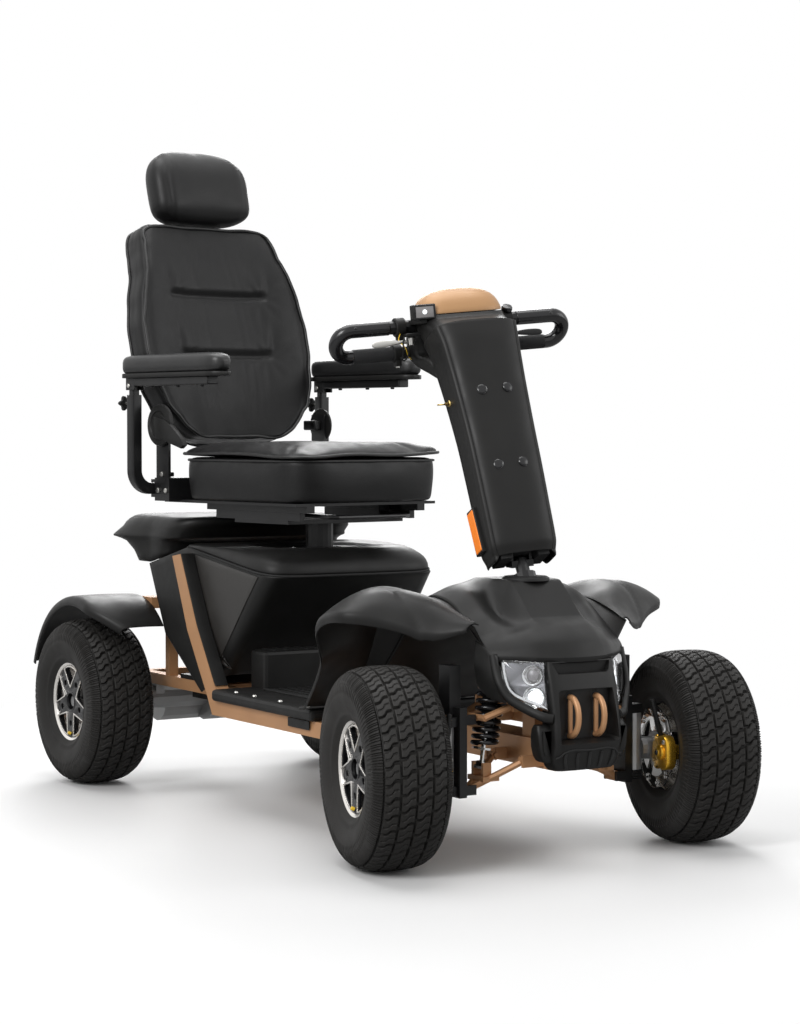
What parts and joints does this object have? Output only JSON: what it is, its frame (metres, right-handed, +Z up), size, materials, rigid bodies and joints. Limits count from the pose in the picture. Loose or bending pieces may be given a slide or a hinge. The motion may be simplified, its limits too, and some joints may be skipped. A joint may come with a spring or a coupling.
{
  "type": "all-terrain mobility scooter",
  "caption": "Open mobility scooter with turf tyres, sprung front arms, a tilting tiller with looped handlebar and a high-backed seat that swivels, slides and reclines.",
  "frame": {"origin": "on the ground in the scooter's middle plane, midway between the front and rear axles", "axes": "+Z up, -Y forwards, +X to the rider's left"},
  "size_m": [0.8762, 1.7268, 1.4448],
  "materials": {
    "copper_paint": "satin metallic copper paint",
    "copper_trim": "satin metallic copper paint on plastic",
    "black_plastic": "fine-grained black moulding",
    "warm_grey_plastic": "satin warm grey moulding",
    "black_metal": "satin black powder coat",
    "zinc": "zinc plated",
    "cast_aluminium": "cast",
    "gold_anodised": "gold anodised",
    "machined_rim": "black with machined edges",
    "tyre_rubber": "matte black rubber",
    "lamp_lens": "clear lens over a bright reflector",
    "brass": "polished",
    "leather": "black leather cloth with sewn channels"
  },
  "bodies": {
    "chassis": {"main_frame": "copper_paint", "floor_pan": "black_plastic", "battery_pack": "black_plastic", "body_shroud": "warm_grey_plastic", "body_lid": "black_plastic", "rear_deck": "black_plastic", "front_cowl": "black_plastic", "nose_grille": "black_plastic", "grille_hooks": "copper_paint", "transaxle": "cast_aluminium", "rear_fender_l": "black_plastic", "rear_fender_r": "black_plastic", "front_fender_l": "black_plastic", "front_fender_r": "black_plastic", "headlight_l": "lamp_lens", "headlight_r": "lamp_lens"},
    "lower_arm_l": {"lower_arm_l": "copper_paint"},
    "upper_arm_l": {"upper_arm_l": "copper_paint"},
    "upright_l": {"upright_l": "copper_paint"},
    "knuckle_l": {"knuckle_l": "black_metal", "caliper_l": "gold_anodised"},
    "front_wheel_l": {"rim_front_l": "machined_rim", "tyre_front_l": "tyre_rubber"},
    "shock_body_l": {"shock_body_l": "black_metal", "spring_l": "black_metal"},
    "shock_rod_l": {"shock_rod_l": "zinc"},
    "rear_wheel_l": {"rim_rear_l": "machined_rim", "tyre_rear_l": "tyre_rubber"},
    "armrest_post_l": {"armrest_post_l": "black_metal"},
    "armrest_l": {"armrest_l": "black_plastic"},
    "lower_arm_r": {"lower_arm_r": "copper_paint"},
    "upper_arm_r": {"upper_arm_r": "copper_paint"},
    "upright_r": {"upright_r": "copper_paint"},
    "knuckle_r": {"knuckle_r": "black_metal", "caliper_r": "gold_anodised"},
    "front_wheel_r": {"rim_front_r": "machined_rim", "tyre_front_r": "tyre_rubber"},
    "shock_body_r": {"shock_body_r": "black_metal", "spring_r": "black_metal"},
    "shock_rod_r": {"shock_rod_r": "zinc"},
    "rear_wheel_r": {"rim_rear_r": "machined_rim", "tyre_rear_r": "tyre_rubber"},
    "armrest_post_r": {"armrest_post_r": "black_metal"},
    "armrest_r": {"armrest_r": "black_plastic"},
    "seat_post": {"seat_post": "zinc"},
    "seat_frame": {"seat_frame": "black_metal", "seat_cushion": "leather"},
    "slide_lever": {"slide_lever": "zinc"},
    "recline_lever": {"recline_lever": "black_plastic"},
    "seat_back": {"seat_back": "leather"},
    "headrest": {"headrest": "leather"},
    "steer_base": {"steer_base": "black_metal"},
    "tiller": {"tiller_stem": "zinc", "tiller_cover": "black_plastic", "tiller_head": "black_plastic", "tiller_cap": "copper_trim", "handlebar": "black_metal"},
    "drive_lever": {"drive_lever": "zinc"},
    "brake_lever": {"brake_lever": "zinc"},
    "key": {"key": "brass"}
  },
  "joints": [
    {"name": "tiller_steer", "type": "hinge", "parent": "chassis", "child": "steer_base", "pos_m": [0, -0.5886, 0.5174], "axis": [0, 0.4131, 0.9107], "range_deg": [-17.4, 42.6]},
    {"name": "tiller_tilt", "type": "hinge", "parent": "steer_base", "child": "tiller", "pos_m": [0, -0.56381, 0.57204], "axis": [0.9759, -0.1987, 0.0901], "range_deg": [-20, 10]},
    {"name": "lower_arm_bump_l", "type": "hinge", "parent": "chassis", "child": "lower_arm_l", "pos_m": [0.075, -0.6445, 0.188], "axis": [0, -1, 0], "range_deg": [-6, 6], "stiffness_Nm_per_rad": 66, "springref_deg": -20.05},
    {"name": "upper_arm_bump_l", "type": "hinge", "parent": "chassis", "child": "upper_arm_l", "pos_m": [0.098, -0.6445, 0.292], "axis": [0, -1, 0], "range_deg": [-8.04, 8.04]},
    {"name": "upright_level_l", "type": "hinge", "parent": "lower_arm_l", "child": "upright_l", "pos_m": [0.166, -0.6445, 0.137], "axis": [0, -1, 0], "range_deg": [-6.2, 6.2]},
    {"name": "shock_swing_l", "type": "hinge", "parent": "chassis", "child": "shock_body_l", "pos_m": [0.104, -0.6445, 0.385], "axis": [0, -1, 0], "range_deg": [-0.8, 0.8]},
    {"name": "shock_slide_l", "type": "slide", "parent": "shock_body_l", "child": "shock_rod_l", "axis": [-0.1513, 0, 0.9885], "range_m": [-0.0065, 0.0065], "deforming": ["spring_l"]},
    {"name": "knuckle_steer_l", "type": "hinge", "parent": "upright_l", "child": "knuckle_l", "pos_m": [0.215, -0.6445, 0.1855], "axis": [0, 0, 1], "range_deg": [-17.4, 42.6]},
    {"name": "front_wheel_spin_l", "type": "hinge", "parent": "knuckle_l", "child": "front_wheel_l", "pos_m": [0.33045, -0.67031, 0.1855], "axis": [0.9759, -0.2181, 0], "continuous": true},
    {"name": "rear_wheel_spin_l", "type": "hinge", "parent": "chassis", "child": "rear_wheel_l", "pos_m": [0.3333, 0.6445, 0.1855], "axis": [1, 0, 0], "continuous": true},
    {"name": "lower_arm_bump_r", "type": "hinge", "parent": "chassis", "child": "lower_arm_r", "pos_m": [-0.075, -0.6445, 0.188], "axis": [0, 1, 0], "range_deg": [-6, 6], "stiffness_Nm_per_rad": 66, "springref_deg": -20.05},
    {"name": "upper_arm_bump_r", "type": "hinge", "parent": "chassis", "child": "upper_arm_r", "pos_m": [-0.098, -0.6445, 0.292], "axis": [0, 1, 0], "range_deg": [-8.04, 8.04]},
    {"name": "upright_level_r", "type": "hinge", "parent": "lower_arm_r", "child": "upright_r", "pos_m": [-0.166, -0.6445, 0.137], "axis": [0, 1, 0], "range_deg": [-6.2, 6.2]},
    {"name": "shock_swing_r", "type": "hinge", "parent": "chassis", "child": "shock_body_r", "pos_m": [-0.104, -0.6445, 0.385], "axis": [0, 1, 0], "range_deg": [-0.8, 0.8]},
    {"name": "shock_slide_r", "type": "slide", "parent": "shock_body_r", "child": "shock_rod_r", "axis": [0.1513, 0, 0.9885], "range_m": [-0.0065, 0.0065], "deforming": ["spring_r"]},
    {"name": "knuckle_steer_r", "type": "hinge", "parent": "upright_r", "child": "knuckle_r", "pos_m": [-0.215, -0.6445, 0.1855], "axis": [0, 0, 1], "range_deg": [-17.4, 42.6]},
    {"name": "front_wheel_spin_r", "type": "hinge", "parent": "knuckle_r", "child": "front_wheel_r", "pos_m": [-0.33045, -0.61869, 0.1855], "axis": [0.9759, -0.2181, 0], "continuous": true},
    {"name": "rear_wheel_spin_r", "type": "hinge", "parent": "chassis", "child": "rear_wheel_r", "pos_m": [-0.3333, 0.6445, 0.1855], "axis": [1, 0, 0], "continuous": true},
    {"name": "seat_swivel", "type": "hinge", "parent": "chassis", "child": "seat_post", "pos_m": [0, 0.195, 0.5], "axis": [0, 0, 1], "range_deg": [-98.1, 81.9]},
    {"name": "seat_slide", "type": "slide", "parent": "seat_post", "child": "seat_frame", "axis": [0.1402, -0.9901, 0], "range_m": [-0.05, 0.05]},
    {"name": "back_recline", "type": "hinge", "parent": "seat_frame", "child": "seat_back", "pos_m": [-0.03926, 0.47223, 0.808], "axis": [0.9901, 0.1402, 0], "range_deg": [-20, 75]},
    {"name": "headrest_lift", "type": "slide", "parent": "seat_back", "child": "headrest", "axis": [-0.0358, 0.2529, 0.9668], "range_m": [0, 0.07]},
    {"name": "recline_lever_pull", "type": "hinge", "parent": "seat_frame", "child": "recline_lever", "pos_m": [-0.03926, 0.47223, 0.808], "axis": [0.9901, 0.1402, 0], "range_deg": [-25, 0], "stiffness_Nm_per_rad": 1.5, "springref_deg": 20.05},
    {"name": "slide_lever_lift", "type": "hinge", "parent": "seat_frame", "child": "slide_lever", "pos_m": [0.01047, 0.12104, 0.618], "axis": [0.9901, 0.1402, 0], "range_deg": [-8, 0], "stiffness_Nm_per_rad": 2, "springref_deg": 17.19},
    {"name": "armrest_width_l", "type": "slide", "parent": "seat_frame", "child": "armrest_post_l", "axis": [0.9901, 0.1402, 0], "range_m": [0, 0.04]},
    {"name": "armrest_raise_l", "type": "hinge", "parent": "armrest_post_l", "child": "armrest_l", "pos_m": [0.21356, 0.55551, 0.895], "axis": [0.9901, 0.1402, 0], "range_deg": [-90, 0]},
    {"name": "armrest_width_r", "type": "slide", "parent": "seat_frame", "child": "armrest_post_r", "axis": [-0.9901, -0.1402, 0], "range_m": [0, 0.04]},
    {"name": "armrest_raise_r", "type": "hinge", "parent": "armrest_post_r", "child": "armrest_r", "pos_m": [-0.30526, 0.48203, 0.895], "axis": [0.9901, 0.1402, 0], "range_deg": [-90, 0]},
    {"name": "drive_lever_pull", "type": "hinge", "parent": "tiller", "child": "drive_lever", "pos_m": [-0.09158, -0.32574, 0.97896], "axis": [-0.0901, 0.0091, 0.9959], "range_deg": [-20, 0], "stiffness_Nm_per_rad": 0.5, "springref_deg": 17.19},
    {"name": "brake_lever_pull", "type": "hinge", "parent": "tiller", "child": "brake_lever", "pos_m": [0.1036, -0.36547, 0.99699], "axis": [-0.0901, 0.0091, 0.9959], "range_deg": [0, 20], "stiffness_Nm_per_rad": 0.5, "springref_deg": -17.19},
    {"name": "key_turn", "type": "hinge", "parent": "tiller", "child": "key", "pos_m": [-0.00502, -0.46032, 0.85452], "axis": [0.9759, -0.1987, 0.0901], "range_deg": [0, 90]}
  ],
  "couplings": [
    {"joint": "upper_arm_bump_l", "follows": "lower_arm_bump_l", "ratio": 1.3},
    {"joint": "upright_level_l", "follows": "lower_arm_bump_l", "ratio": -1},
    {"joint": "shock_swing_l", "follows": "lower_arm_bump_l", "ratio": 0.0998},
    {"joint": "shock_slide_l", "follows": "lower_arm_bump_l", "m_per_rad": 0.05848},
    {"joint": "knuckle_steer_l", "follows": "tiller_steer", "ratio": 1},
    {"joint": "upper_arm_bump_r", "follows": "lower_arm_bump_r", "ratio": 1.3},
    {"joint": "upright_level_r", "follows": "lower_arm_bump_r", "ratio": -1},
    {"joint": "shock_swing_r", "follows": "lower_arm_bump_r", "ratio": 0.0998},
    {"joint": "shock_slide_r", "follows": "lower_arm_bump_r", "m_per_rad": 0.05848},
    {"joint": "knuckle_steer_r", "follows": "tiller_steer", "ratio": 1}
  ]
}
